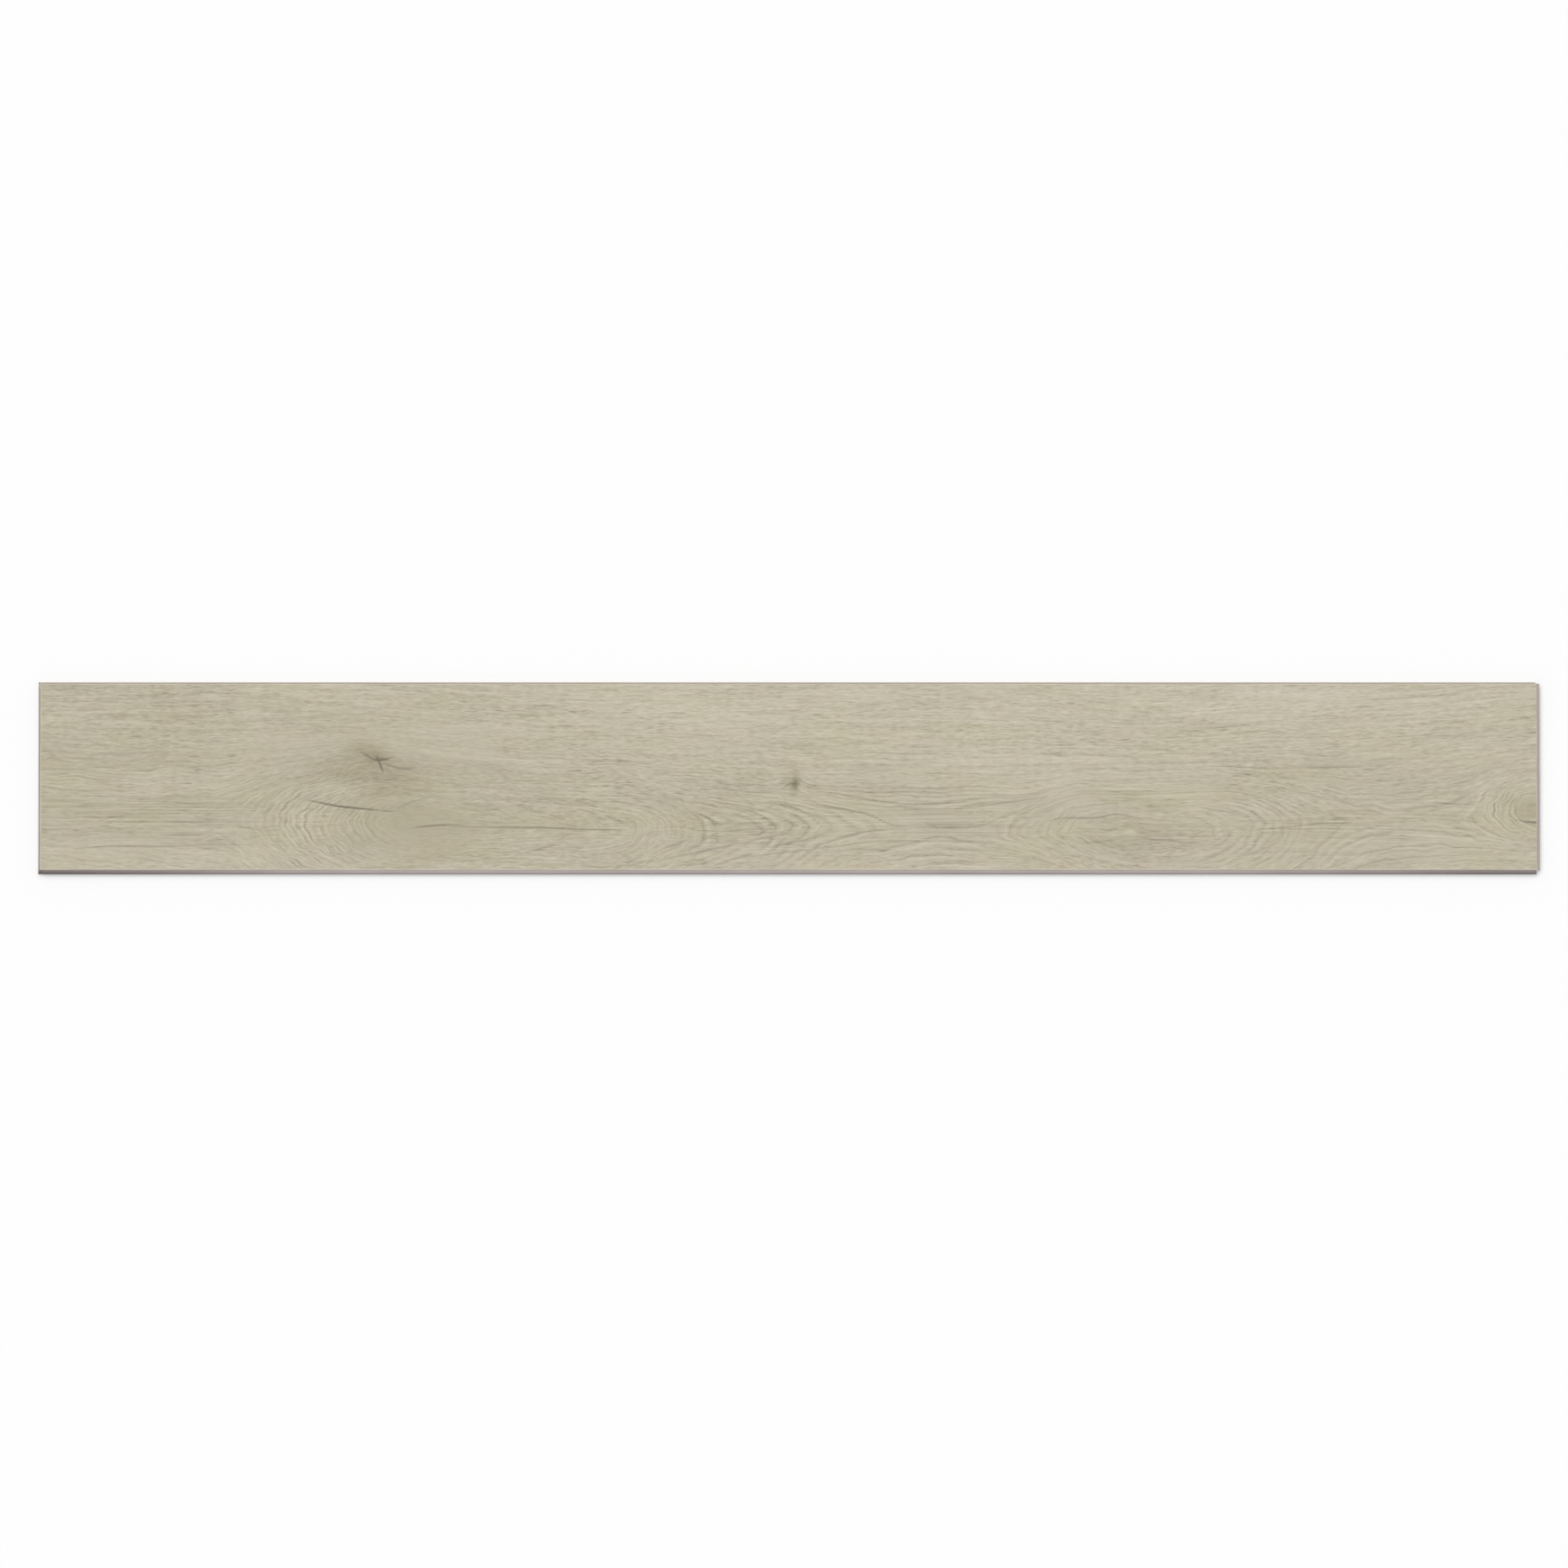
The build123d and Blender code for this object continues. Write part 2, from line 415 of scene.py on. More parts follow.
# Light: the level of the surroundings, and the wide light's spread in degrees, strength and direction
SURROUND_LEVEL = 0.535
SKY_SPREAD = 50.0
SKY_STRENGTH = 1.56
SKY_HEADING = (0.22, -0.30, -1.0)


def linear(colour):
    """Light value of a colour given as the eye reads it, by the standard screen curve."""
    share = np.array(colour) / 255.0
    return tuple(np.where(share <= 0.04045, share / 12.92, ((share + 0.055) / 1.055) ** 2.4))


# Layout of the grain

def through(points, x):
    """Smooth curve through points, at x: a cubic between each pair, with slopes from its neighbours."""
    place, height = np.array(points, float).T
    slope = np.gradient(height, place)
    i = np.clip(np.searchsorted(place, x) - 1, 0, len(place) - 2)
    span = place[i + 1] - place[i]
    t = np.clip((x - place[i]) / span, 0, 1)
    from_start = (1 + 2 * t) * (1 - t) ** 2 * height[i] + t * (1 - t) ** 2 * span * slope[i]
    to_end = t**2 * (3 - 2 * t) * height[i + 1] + t**2 * (t - 1) * span * slope[i + 1]
    return from_start + to_end


def ripples(x, y, length, width, seed, waves=16):
    """Smooth wander of about one unit: a sum of sine waves of random direction and phase.

    Most of the waves are one and a half times the given length and width or longer.
    """
    rng = np.random.default_rng(seed)
    along, across = rng.normal(0, 1 / length, waves), rng.normal(0, 1 / width, waves)
    phase = rng.uniform(0, 2 * pi, waves)
    total = np.zeros_like(x)
    for rate_x, rate_y, start in zip(along, across, phase):
        total += np.sin(4 * (rate_x * x + rate_y * y) + start)
    return total * np.sqrt(2 / waves)


def bell(x, y, half_length, half_width):
    """Bell curve over an ellipse: one in the middle, and about a third at the half sizes."""
    return np.exp(-((x / half_length) ** 2) - (y / half_width) ** 2)


def bells(places, x, y):
    """Sum of bell curves, each (x, y, half length, half width, height)."""
    total = np.zeros_like(x)
    for place_x, place_y, half_length, half_width, height in places:
        total += height * bell(x - place_x, y - place_y, half_length, half_width)
    return total


def ring_distance(x, y):
    """Distance from the pith, whose depth below the face changes along the plank.

    The place is first shifted by slow and quick waves, which are highest near the pith. The distance is
    the long side of a right triangle on the way across from the pith's line, which counts less in front
    of it, and on its depth, which tends to a constant away from that line. Round a knot the rings bulge
    outwards by a bell curve, and everywhere they drift a little.
    """
    from_pith = y - through(PITH_LINE, x)
    near_pith = WAVES_AFAR + (1 - WAVES_AFAR) * np.exp(-((from_pith / WAVE_REACH) ** 2))
    slow = near_pith * (SLOW_WAVES + bells(WAVY, x, y))
    quick = near_pith * QUICK_WAVES
    u = x + ALONG_DRIFT * ripples(x, y, *ALONG_STEP, seed=4)
    v = y + slow * ripples(x, y, *SLOW_STEP, seed=8) + quick * ripples(x, y, *QUICK_STEP, seed=9)
    across = v - through(PITH_LINE, u)
    across = np.where(across < 0, across * through(FRONT_RATE, u), across)
    nearness = np.exp(-((across / through(FLAME_REACH, u)) ** 2))
    depth = PITH_REST + (through(PITH_DEPTH, u) - PITH_REST) * nearness
    rings = np.hypot(across, depth)
    for knot_x, knot_y, half_length, half_width, bulge, _ in KNOTS:
        rings -= bulge * bell(u - knot_x, v - knot_y, half_length, half_width)
    return rings + RING_DRIFT * ripples(u, v, *RING_STEP, seed=3)


def ring_number(x, y):
    """Number of rings out from the first one: the distance between them over the local ring width."""
    width = RING_WIDTH + bells(WIDE_RINGS, x, y)
    return (ring_distance(x, y) - FIRST_RING) / width


def ring_rate(x, y):
    """Rings crossed in a millimetre: the slope of the ring number, by small differences."""
    step = 0.5
    along = ring_number(x + step, y) - ring_number(x - step, y)
    across = ring_number(x, y + step) - ring_number(x, y - step)
    return np.hypot(along, across) / (2 * step)


def fibre_place(x, y):
    """Place across the grain: y, squeezed towards each knot's middle so that fibres pass round it."""
    place = y + FIBRE_DRIFT * ripples(x, y, *FIBRE_STEP, seed=5)
    for knot_x, knot_y, half_length, half_width, _, spread in KNOTS:
        away = y - knot_y
        size = (SPREAD_SIZE[0] * half_length, SPREAD_SIZE[1] * half_width)
        place -= spread * away * bell(x - knot_x, away, *size)
    return place


def ring_plainness(x, y):
    """How plainly the rings show: most along the pith's line, and less away from it by a bell curve."""
    across = y - through(PITH_LINE, x)
    towards_pith = PLAIN_AFAR + (1 - PLAIN_AFAR) * np.exp(-((across / PLAIN_REACH) ** 2))
    return towards_pith * through(RINGS_SHOWN, x) * grain_strength(x, y)


def grain_strength(x, y):
    """How strong the grain is: one, less a bell curve at each quiet place."""
    return 1 - np.clip(bells(QUIET, x, y), 0, 1)


def shade(x, y):
    """Soft darkness: the sum of the smudges' bell curves, with a slight wander in place."""
    u = x + SMUDGE_WANDER[0] * ripples(x, y, *SMUDGE_STEP, seed=6)
    v = y + SMUDGE_WANDER[1] * ripples(x, y, *SMUDGE_STEP, seed=7)
    return bells(SMUDGES, u, v)


def cracks(x, y):
    """Darkness of the cracks: the strongest of their bell curves, each across its own line.

    A crack's darkness and width rise from its ends to its middle as the cube root of a parabola.
    """
    darkest = np.zeros_like(x)
    for darkness, half_width, points in CRACKS:
        start, end = points[0][0], points[-1][0]
        t = np.clip((x - start) / (end - start), 0, 1)
        taper = np.cbrt(4 * t * (1 - t))
        off = (y - through(points, x)) / (half_width * (CRACK_END + (1 - CRACK_END) * taper))
        darkest = np.maximum(darkest, darkness * taper * np.exp(-(off**2)))
    return darkest


def relief(x, y, half_length, half_width):
    """Height of the embossed face from its flat plane, in millimetres: never above it.

    Each ring is a shallow valley, a knot a hollow and a crack a groove. All fade out at the border.
    """
    valley = (0.5 + 0.5 * np.cos(2 * pi * ring_number(x, y))) * ring_plainness(x, y)
    hollow = np.clip(shade(x, y), 0, 1)
    depth = RING_RELIEF * valley + KNOT_RELIEF * hollow + CRACK_RELIEF * cracks(x, y)
    to_border = np.minimum(half_length - np.abs(x), half_width - np.abs(y))
    return -depth * np.clip(to_border / RELIEF_BORDER, 0, 1)


# The board's mesh

def joint_plane(name):
    """Middle of a click edge in the plane where two planks' faces meet, from the part's record."""
    return next(mount["pos_m"] for mount in frame["record"]["mounts"] if mount["name"] == name)


def merged_board():
    """Corners and triangles of the CAD board, with corners at one place made one."""
    mesh = frame["nodes"][NODE].data
    places = np.empty(3 * len(mesh.vertices))
    mesh.vertices.foreach_get("co", places)
    order = np.empty(len(mesh.loops), dtype=int)
    mesh.loops.foreach_get("vertex_index", order)
    steps = np.round(places.reshape(-1, 3) / TOGETHER).astype(int)
    corners, which = np.unique(steps, axis=0, return_inverse=True)
    return corners * TOGETHER, which.reshape(-1)[order].reshape(-1, 3)


def column_places(low, high, count):
    """Places of the grid's columns: even steps along the running sum of how close together they lie."""
    x = np.linspace(low, high, 4001)
    closeness = np.ones_like(x)
    for fine_x, half_length, extra in FINE_COLUMNS:
        closeness += extra * bell(x / MM - fine_x, 0, half_length, 1)
    running = np.concatenate([[0], np.cumsum((closeness[1:] + closeness[:-1]) / 2)])
    return np.interp(np.linspace(0, running[-1], count + 1), running, x)


def face_grid(low, high, height):
    """The printed face: a grid over a rectangle, each point at the face's height plus the relief."""
    columns, rows = FACE_CELLS
    along = column_places(low[0], high[0], columns)
    x, y = np.meshgrid(along, np.linspace(low[1], high[1], rows + 1))
    z = height + MM * relief(x / MM, y / MM, high[0] / MM, high[1] / MM)
    corner = np.arange((rows + 1) * (columns + 1)).reshape(rows + 1, columns + 1)
    cells = np.stack([corner[:-1, :-1], corner[:-1, 1:], corner[1:, 1:], corner[1:, :-1]], axis=-1)
    return np.stack([x, y, z], axis=-1).reshape(-1, 3), cells.reshape(-1, 4), corner


def bevel_faces(corner, rim):
    """The four bevels: each is one flat face from a border of the grid down to two rim corners.

    corner holds the grid's point numbers, row by row, and rim the number of the rim corner at each
    (x side, y side).
    """
    front = [*corner[0, ::-1], rim[-1, -1], rim[1, -1]]
    back = [*corner[-1, :], rim[1, 1], rim[-1, 1]]
    left = [*corner[:, 0], rim[-1, 1], rim[-1, -1]]
    right = [*corner[::-1, -1], rim[1, -1], rim[1, 1]]
    return [[int(i) for i in face] for face in (front, back, left, right)]


def set_attribute(mesh, name, values):
    """Gives every corner of the mesh a named number that its material reads."""
    attribute = mesh.attributes.new(name, "FLOAT", "POINT")
    attribute.data.foreach_set("value", values.astype(np.float32))


def build_plank():
    """The plank: the CAD board with its flat top exchanged for the embossed grid and its bevels."""
    corners, triangles = merged_board()
    top = corners[:, 2].max()
    on_top = corners[:, 2] > top - TOGETHER / 2
    face = corners[on_top]
    sides = triangles[~on_top[triangles].any(axis=1)]

    grid, cells, corner = face_grid(face.min(axis=0), face.max(axis=0), top)
    rim_height = corners[~on_top][:, 2].max()
    at_rim = np.flatnonzero(np.abs(corners[:, 2] - rim_height) < TOGETHER / 2)
    rim = {(int(np.sign(corners[i, 0])), int(np.sign(corners[i, 1]))): len(grid) + i for i in at_rim}
    bevels = bevel_faces(corner, rim)

    points = np.concatenate([grid, corners])
    faces = cells.tolist() + bevels + (sides + len(grid)).tolist()
    finish = np.repeat([FACE, BEVEL, EDGE], [len(cells), len(bevels), len(sides)])
    at_bottom = (corners[sides][:, :, 2] < TOGETHER / 2).all(axis=1)
    finish[len(cells) + len(bevels) + np.flatnonzero(at_bottom)] = UNDERSIDE

    mesh = bpy.data.meshes.new("plank_board")
    mesh.from_pydata(points.tolist(), [], faces)
    for material in (oak_print(), bevel_print_and_highlight(), board_edge_with_painted_shade(), board_underside()):
        mesh.materials.append(material)
    mesh.polygons.foreach_set("material_index", finish)
    x, y = points[:, 0] / MM, points[:, 1] / MM
    set_attribute(mesh, "ring", ring_number(x, y))
    set_attribute(mesh, "ring_rate", ring_rate(x, y))
    set_attribute(mesh, "fibre", fibre_place(x, y))
    set_attribute(mesh, "plainness", ring_plainness(x, y))
    set_attribute(mesh, "strength", grain_strength(x, y))
    set_attribute(mesh, "unbroken", bells(UNBROKEN, x, y))
    set_attribute(mesh, "shade", shade(x, y))
    set_attribute(mesh, "crack", cracks(x, y))

    used = np.unique(np.concatenate([np.ravel(cells), np.ravel(sides) + len(grid), at_rim + len(grid)]))
    loose = np.setdiff1d(np.arange(len(points)), used)
    remove_points(mesh, loose)
    mesh.shade_smooth()
    mesh.set_sharp_from_angle(angle=radians(SHARP_ANGLE))
    mesh.validate()
    piece = bpy.data.objects.new("plank_board", mesh)
    bpy.context.scene.collection.objects.link(piece)
    return piece


def remove_points(mesh, numbers):
    """Takes loose points, which no face uses, out of the mesh."""
    shell = bmesh.new()
    shell.from_mesh(mesh)
    shell.verts.ensure_lookup_table()
    bmesh.ops.delete(shell, geom=[shell.verts[int(i)] for i in numbers], context="VERTS")
    shell.to_mesh(mesh)
    shell.free()


# Materials

class Finish:
    """Short calls that add nodes to one material. Each takes sockets or plain numbers."""

    def __init__(self, name):
        self.material = bpy.data.materials.new(name)
        self.material.use_nodes = True
        self.tree = self.material.node_tree
        self.shader = self.tree.nodes["Principled BSDF"]

    def add(self, kind, **settings):
        """A new node with these settings."""
        node = self.tree.nodes.new(kind)
        for name, value in settings.items():
            setattr(node, name, value)
        return node

    def put(self, value, socket):
        """Links a socket, or sets a plain value."""
        if isinstance(value, bpy.types.NodeSocket):
            self.tree.links.new(value, socket)
        else:
            socket.default_value = value

    def math(self, operation, a, b=0.0):
        """One step of arithmetic."""
        node = self.add("ShaderNodeMath", operation=operation)
        self.put(a, node.inputs[0])
        self.put(b, node.inputs[1])
        return node.outputs[0]

    def attribute(self, name):
        """A number that the mesh holds at its corners."""
        return self.add("ShaderNodeAttribute", attribute_name=name).outputs["Fac"]

    def place(self):
        """Object coordinates in millimetres, as three sockets."""
        coordinates = self.add("ShaderNodeTexCoord").outputs["Object"]
        split = self.add("ShaderNodeSeparateXYZ")
        self.put(coordinates, split.inputs[0])
        return [self.math("DIVIDE", axis, MM) for axis in split.outputs]

    def noise(self, x, y, z=0.0, detail=2.0, roughness=0.5):
        """Cloudy noise, from about 0.3 to 0.7, one cell for each unit of x, y and z."""
        join = self.add("ShaderNodeCombineXYZ")
        for value, socket in zip((x, y, z), join.inputs):
            self.put(value, socket)
        node = self.add("ShaderNodeTexNoise")
        self.put(join.outputs[0], node.inputs["Vector"])
        node.inputs["Scale"].default_value = 1.0
        node.inputs["Detail"].default_value = detail
        node.inputs["Roughness"].default_value = roughness
        return node.outputs["Fac"]

    def streaks(self, x, y, length, width, seed, detail=2.0):
        """Noise drawn out along the grain: cells of one length by one width, in millimetres."""
        return self.noise(self.math("DIVIDE", x, length), self.math("DIVIDE", y, width), seed, detail)

    def between(self, value, low, high, to_low=0.0, to_high=1.0):
        """Eases from one level to another while the value goes from low to high."""
        node = self.add("ShaderNodeMapRange", interpolation_type="SMOOTHSTEP")
        for number, socket in zip((value, low, high, to_low, to_high), node.inputs):
            self.put(number, socket)
        return node.outputs["Result"]

    def level(self, share, a, b):
        """Between a and b by a share."""
        node = self.add("ShaderNodeMix", data_type="FLOAT")
        self.put(share, node.inputs["Factor"])
        self.put(a, node.inputs[2])
        self.put(b, node.inputs[3])
        return node.outputs[0]

    def centred(self, value, strength):
        """The noise about zero, with this much swing."""
        return self.math("MULTIPLY", self.math("SUBTRACT", value, 0.5), strength)

    def total(self, first, *others):
        """Sum of several values."""
        for value in others:
            first = self.math("ADD", first, value)
        return first

    def product(self, first, *others):
        """Product of several values."""
        for value in others:
            first = self.math("MULTIPLY", first, value)
        return first

    def blend(self, share, a, b, kind="MIX"):
        """Colour between a and b by a share, or a tinted by b."""
        node = self.add("ShaderNodeMix", data_type="RGBA", blend_type=kind)
        self.put(share, node.inputs["Factor"])
        for colour, socket in zip((a, b), (node.inputs[6], node.inputs[7])):
            self.put((*colour, 1.0) if isinstance(colour, tuple) else colour, socket)
        return node.outputs[2]

    def ramp(self, value, stops):
        """Colour by a value, between stops of (value, colour)."""
        node = self.add("ShaderNodeValToRGB")
        steps = node.color_ramp.elements
        while len(steps) < len(stops):
            steps.new(0.5)
        for step, (position, colour) in zip(steps, stops):
            step.position = position
            step.color = (*linear(colour), 1.0)
        self.put(value, node.inputs[0])
        return node.outputs["Color"]

    def bump(self, height, depth):
        """Tilts the surface as if this height, from 0 to 1, were so many metres of depth."""
        node = self.add("ShaderNodeBump")
        node.inputs["Distance"].default_value = depth
        self.put(height, node.inputs["Height"])
        self.tree.links.new(node.outputs[0], self.shader.inputs["Normal"])

    def finish(self, colour, roughness, gloss):
        """Sets what the shader shows and gives the material."""
        self.put(colour, self.shader.inputs["Base Color"])
        self.put(roughness, self.shader.inputs["Roughness"])
        self.shader.inputs["Specular IOR Level"].default_value = gloss
        return self.material


class OakGrain:
    """Tone of the oak print, worked out by noise that is drawn out along the rings or the fibres."""

    def __init__(self, oak):
        self.oak = oak
        self.x, self.y, _ = oak.place()
        self.fibre = oak.attribute("fibre")
        self.ring = oak.attribute("ring")
        self.ring_rate = oak.attribute("ring_rate")
        self.growth = oak.math("MULTIPLY", self.ring, RING_WIDTH)
        self.steepness = oak.math("MULTIPLY", self.ring_rate, RING_WIDTH)
        self.unbroken = oak.attribute("unbroken")

    def along_fibres(self, step, seed, detail=2.0):
        """Noise with steps of (length, width) along the fibres."""
        return self.oak.streaks(self.x, self.fibre, *step, seed, detail)

    def along_rings(self, step, seed, detail=2.0):
        """Noise with steps of (length along, width outwards from the pith, breadth across)."""
        oak = self.oak
        length, width, breadth = step
        out = oak.math("DIVIDE", self.growth, width)
        drift = oak.math("ADD", oak.math("DIVIDE", self.y, breadth), seed)
        return oak.noise(oak.math("DIVIDE", self.x, length), out, drift, detail)

    def evenly(self, step, seed, detail=2.0):
        """Noise along the rings whose lines stay about as thin all over the face.

        Where the rings lie wide apart on the face a finer noise takes over, and where the face runs
        almost along one ring, a noise along the fibres.
        """
        oak = self.oak
        length, width, breadth = step
        coarse = self.along_rings(step, seed, detail)
        fine = self.along_rings((length, width / 2.2, breadth), seed + 3.0, detail)
        straight = self.along_fibres((1.6 * length, width), seed + 6.0, detail)
        fine = oak.level(oak.between(self.steepness, 0.14, 0.44), straight, fine)
        return oak.level(oak.between(self.steepness, 0.48, 0.80), fine, coarse)

    def fibres(self):
        """Threads, short strokes, long lines, dark dashes and pores, fainter in the quiet places.

        Where the lines run on unbroken, long ones take the place of most strokes.
        """
        oak = self.oak
        threads = oak.centred(self.evenly(THREADS, 30.0), THREAD_SWING)
        strokes_left = oak.math("SUBTRACT", 1.0, oak.math("MULTIPLY", self.unbroken, 0.75))
        stroke_swing = oak.math("MULTIPLY", strokes_left, STROKE_SWING)
        strokes = oak.centred(self.evenly(STROKES, 50.0), stroke_swing)
        lines = oak.centred(self.evenly(LONG_LINES, 55.0), LONG_LINE_SWING)
        lines = oak.math("MULTIPLY", self.unbroken, lines)
        patches = oak.between(self.along_fibres(PATCHES, 6.0), 0.40, 0.60, 0.30, 1.0)
        dash = oak.between(self.evenly(DASHES, 70.0, detail=1.0), 0.58, 0.76)
        dashes = oak.product(dash, patches, -DASH_DEPTH)
        pore = oak.between(self.along_fibres(PORES, 4.0, detail=1.0), 0.55, 0.70)
        pores = oak.product(pore, patches, -PORE_DEPTH)
        grain = oak.total(threads, strokes, dashes, lines, pores)
        return oak.math("MULTIPLY", grain, oak.attribute("strength"))

    def ring_line(self, phase):
        """A line in every ring, strongest at a share of the way through it and about as wide everywhere."""
        oak = self.oak
        off = oak.math("ABSOLUTE", oak.math("SUBTRACT", oak.math("FRACT", self.ring), phase))
        rate = oak.math("MAXIMUM", self.ring_rate, LEAST_RING_RATE)
        reach = oak.math("MINIMUM", oak.math("MULTIPLY", rate, RING_LINE_WIDTH), WIDEST_RING_LINE)
        return oak.between(off, 0.0, reach, 1.0, 0.0)

    def rings(self):
        """Growth rings: a dark and a light line in each, of random weight, in strokes and with gaps.

        They fade where they lie too close to be told apart and where the face runs along one ring.
        """
        oak = self.oak
        chance = oak.add("ShaderNodeTexWhiteNoise", noise_dimensions="1D")
        oak.put(oak.math("FLOOR", self.ring), chance.inputs["W"])
        weight = oak.between(chance.outputs["Value"], 0.1, 1.0, 0.15, 1.0)
        dark = oak.math("MULTIPLY", self.ring_line(DARK_PHASE), -DARK_LINE)
        light = oak.math("MULTIPLY", self.ring_line(LIGHT_PHASE), LIGHT_LINE)
        strokes = oak.between(self.along_fibres(RING_STROKES, 11.0), 0.32, 0.66, 0.15, 1.2)
        strokes = oak.level(self.unbroken, strokes, 0.8)
        gaps = oak.math("ADD", self.along_rings(RING_GAPS, 90.0), oak.math("MULTIPLY", self.unbroken, 0.25))
        kept = oak.between(gaps, 0.36, 0.58)
        crossed = oak.between(self.steepness, 0.04, 0.12)
        apart = oak.between(self.steepness, 0.55, 0.95, 1.0, 0.2)
        lines = oak.math("ADD", dark, light)
        return oak.product(lines, weight, strokes, kept, oak.attribute("plainness"), crossed, apart)

    def tone(self):
        """The whole tone: its middle, broad clouds and bands, the fibres and the rings."""
        oak = self.oak
        clouds = oak.centred(self.along_fibres(CLOUDS, 1.0), CLOUD_SWING)
        bands = oak.centred(self.along_rings(BANDS, 20.0), BAND_SWING)
        return oak.total(TONE_MIDDLE, clouds, bands, self.fibres(), self.rings())


def oak_print():
    """Printed oak: its tone as a colour, tinted in patches, brown in the knots and darkest in the cracks.

    The face is matt, a little smoother where it is light, and embossed by its tone.
    """
    oak = Finish("oak_print")
    grain = OakGrain(oak)
    x, y = grain.x, grain.y
    shaded = oak.attribute("shade")
    tone = oak.math("SUBTRACT", grain.tone(), oak.math("MULTIPLY", shaded, SHADE_DEPTH))
    colour = oak.ramp(tone, [(0.0, GRAIN_DARK), (0.5, FACE_MID), (1.0, FACE_LIGHT)])
    yellow = oak.math("ADD", oak.streaks(x, y, *YELLOW_PATCHES, 14.0), oak.math("MULTIPLY", shaded, 0.25))
    colour = oak.blend(oak.between(yellow, 0.40, 0.70, 0.0, 0.7), colour, YELLOW_TINT, "MULTIPLY")
    pink = oak.streaks(x, y, *PINK_PATCHES, 17.0)
    colour = oak.blend(oak.between(pink, 0.46, 0.70, 0.0, 0.6), colour, PINK_TINT, "MULTIPLY")
    ragged = oak.centred(oak.streaks(x, y, *TORN_EDGE, 9.0), 0.5)
    browned = oak.between(oak.math("ADD", shaded, ragged), 0.70, 1.35, 0.0, 0.85)
    colour = oak.blend(browned, colour, linear(KNOT_BROWN))
    crack = oak.attribute("crack")
    torn = oak.math("ADD", crack, oak.math("MULTIPLY", ragged, crack))
    colour = oak.blend(oak.between(torn, 0.10, 1.00, 0.0, 0.95), colour, linear(CRACK_BROWN))
    oak.bump(tone, PRINT_EMBOSS * MM)
    return oak.finish(colour, oak.between(tone, 0.2, 0.8, 0.66, 0.56), FACE_GLOSS)


def bevel_print_and_highlight():
    """Print pressed down over the bevels: the face's colours in soft patches, paler than the face partly as
    painted highlight, and palest along the front as a painted highlight.
    """
    bevel = Finish("bevel_print_and_highlight")
    x, y, _ = bevel.place()
    cloud = bevel.noise(bevel.math("DIVIDE", x, 30), bevel.math("DIVIDE", y, 30))
    streak = bevel.between(cloud, 0.3, 0.7)
    front_highlight = bevel.blend(streak, linear(BEVEL_DARK), linear(BEVEL_HIGHLIGHT))
    plain = bevel.blend(streak, linear(FACE_MID), linear(BEVEL_DARK))
    out = bevel.math("SUBTRACT", joint_plane("long_tongue")[1] / MM, y)
    # Painted highlight: the front bevels take the palest colours
    colour = bevel.blend(bevel.between(out, -1.5, -1.0), plain, front_highlight)
    return bevel.finish(colour, 0.6, FACE_GLOSS)


def board_edge_with_painted_shade():
    """Milled edge of the mineral-filled board: mauve grey with fine specks and milling marks.

    Painted shade makes the long tongue darker towards its tip and towards both ends of the plank.
    """
    edge = Finish("board_edge_with_painted_shade")
    x, y, z = edge.place()
    fine = [edge.math("MULTIPLY", axis, SPECKS) for axis in (x, y, z)]
    specks = edge.centred(edge.noise(*fine, detail=3.0), 0.25)
    level = [edge.math("DIVIDE", axis, MILLING_LENGTH) for axis in (x, y)]
    milling = edge.centred(edge.noise(*level, edge.math("MULTIPLY", z, MILLING_LINES)), 0.25)
    out = edge.math("SUBTRACT", joint_plane("long_tongue")[1] / MM, y)
    front = edge.between(out, -2.0, 0.0)
    # Painted shade: the front tongue darkens towards its tip and towards both ends of the plank, standing
    # for the shade along the front
    nose_shade = edge.between(out, 0.3, 3.2, 0.15, 0.58)
    left_end_shade = edge.between(x, -640, -350, 0.50, 0.0)
    right_end_shade = edge.between(x, 330, 600, 0.0, 0.38)
    front_shade = edge.math("MULTIPLY", front, edge.total(nose_shade, left_end_shade, right_end_shade))
    left_end = joint_plane("end_groove")[0] / MM
    right_end = joint_plane("end_tongue")[0] / MM
    left_edge = edge.between(x, left_end - 0.5, left_end, 0.35, 0.0)
    right_edge = edge.between(x, right_end - 1.0, right_end, 0.0, 0.3)
    end_edge = edge.math("MAXIMUM", left_edge, right_edge)
    tone = edge.total(edge.math("MAXIMUM", front_shade, end_edge), specks, milling)
    colour = edge.ramp(tone, [(0.0, CORE_LIGHT), (0.5, CORE_GREY), (1.0, CORE_SHADE)])
    edge.bump(specks, SPECK_DEPTH * MM)
    return edge.finish(colour, 0.75, BOARD_GLOSS)


def board_underside():
    """Pressed underside of the board: plain grey with a faint cloth-like press mark."""
    under = Finish("board_underside")
    x, y, _ = under.place()
    waves = [under.math("SINE", under.math("MULTIPLY", axis, pi)) for axis in (x, y)]
    cloud = under.noise(under.math("DIVIDE", x, 40), under.math("DIVIDE", y, 40), detail=4.0)
    grey = linear(UNDERSIDE_GREY)
    dark_grey = tuple(0.82 * channel for channel in grey)
    colour = under.blend(under.between(cloud, 0.35, 0.65), grey, dark_grey)
    under.bump(under.product(*waves), PRESS_DEPTH * MM)
    return under.finish(colour, 0.8, BOARD_GLOSS)


# Floor, light and camera

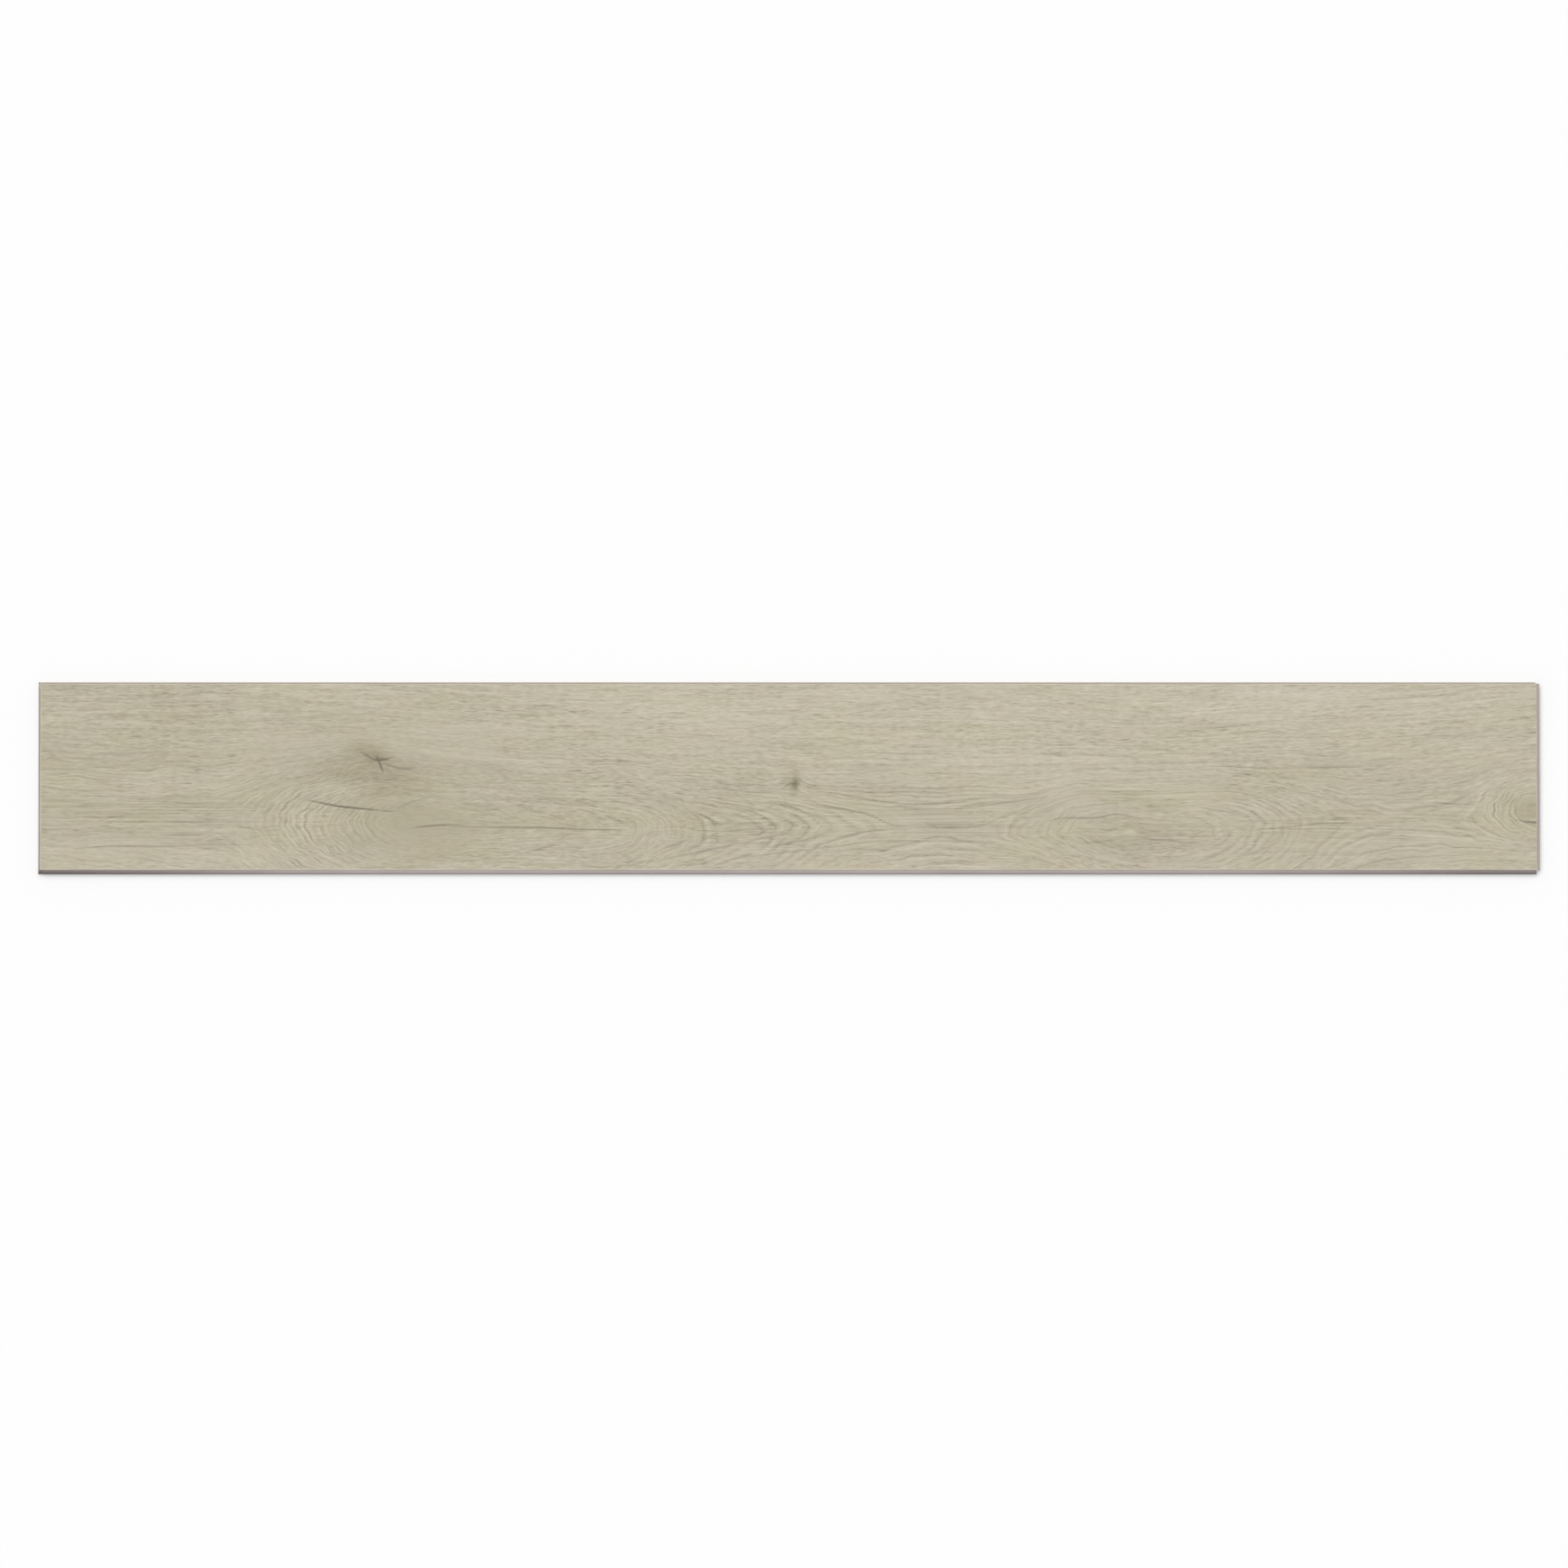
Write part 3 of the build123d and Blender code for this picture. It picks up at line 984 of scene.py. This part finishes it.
def white_floor():
    """A wide white floor. Seen, it is white where nothing shades it, and it keeps the shadow."""
    mesh = bpy.data.meshes.new("floor")
    signs = [(-1, -1), (1, -1), (1, 1), (-1, 1)]
    square = [(FLOOR_HALF * x, FLOOR_HALF * y, -FLOOR_GAP * MM) for x, y in signs]
    mesh.from_pydata(square, [], [(0, 1, 2, 3)])
    floor = bpy.data.objects.new("floor", mesh)
    bpy.context.scene.collection.objects.link(floor)

    paint = Finish("floor_paint")
    paint.tree.nodes.remove(paint.shader)
    path = paint.add("ShaderNodeLightPath")
    seen = paint.math("MAXIMUM", path.outputs["Is Camera Ray"], path.outputs["Is Glossy Ray"])
    seen = paint.math("MAXIMUM", seen, path.outputs["Is Transmission Ray"])
    matt = paint.add("ShaderNodeBsdfDiffuse")
    matt.inputs["Color"].default_value = (FLOOR_PAINT, FLOOR_PAINT, FLOOR_PAINT, 1.0)
    glow = paint.add("ShaderNodeEmission")
    paint.put(paint.math("MULTIPLY", seen, FLOOR_GLOW), glow.inputs["Strength"])
    both = paint.add("ShaderNodeAddShader")
    paint.put(matt.outputs[0], both.inputs[0])
    paint.put(glow.outputs[0], both.inputs[1])
    output = paint.tree.nodes["Material Output"]
    paint.put(both.outputs[0], output.inputs["Surface"])
    mesh.materials.append(paint.material)


def studio_light():
    """Even white surroundings and one wide soft light from above, a little behind and to the left."""
    world = bpy.data.worlds.new("studio")
    bpy.context.scene.world = world
    world.use_nodes = True
    nodes, links = world.node_tree.nodes, world.node_tree.links
    path = nodes.new("ShaderNodeLightPath")
    level = nodes.new("ShaderNodeMapRange")
    level.inputs["To Min"].default_value = SURROUND_LEVEL
    level.inputs["To Max"].default_value = 1.0
    seen = path.outputs["Is Camera Ray"]
    for ray in ("Is Glossy Ray", "Is Transmission Ray"):
        either = nodes.new("ShaderNodeMath")
        either.operation = "MAXIMUM"
        links.new(seen, either.inputs[0])
        links.new(path.outputs[ray], either.inputs[1])
        seen = either.outputs[0]
    links.new(seen, level.inputs["Value"])
    links.new(level.outputs["Result"], nodes["Background"].inputs["Strength"])
    nodes["Background"].inputs["Color"].default_value = (1.0, 1.0, 1.0, 1.0)

    sky = bpy.data.lights.new("soft_sky", "SUN")
    sky.angle = radians(SKY_SPREAD)
    sky.energy = SKY_STRENGTH
    above = bpy.data.objects.new("soft_sky", sky)
    above.rotation_euler = Vector(SKY_HEADING).to_track_quat("-Z", "Y").to_euler()
    bpy.context.scene.collection.objects.link(above)


def camera():
    """A long lens far above the front edge, aimed so that the face lies as it is photographed."""
    height = cad_box[1][2]
    right = (FACE_MIDDLE_PIXEL[0] - PICTURE_PIXELS / 2) * MM_PER_PIXEL * MM
    up = (PICTURE_PIXELS / 2 - FACE_MIDDLE_PIXEL[1]) * MM_PER_PIXEL * MM
    tilt = radians(CAMERA_ELEVATION)
    aim = Vector((-right, -up / sin(tilt), height))
    back = Vector((0, -cos(tilt), sin(tilt)))

    lens = bpy.data.cameras.new("camera")
    lens.sensor_width = 36.0
    lens.lens = lens.sensor_width * CAMERA_DISTANCE / (PICTURE_PIXELS * MM_PER_PIXEL * MM)
    lens.clip_end = 100.0
    eye = bpy.data.objects.new("camera", lens)
    eye.location = aim + CAMERA_DISTANCE * back
    eye.rotation_euler = (-back).to_track_quat("-Z", "Y").to_euler()
    bpy.context.scene.collection.objects.link(eye)
    bpy.context.scene.camera = eye


bpy.context.scene.view_settings.view_transform = "Standard"
board = build_plank()
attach(board, "root")
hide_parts(NODE)
white_floor()
studio_light()
camera()
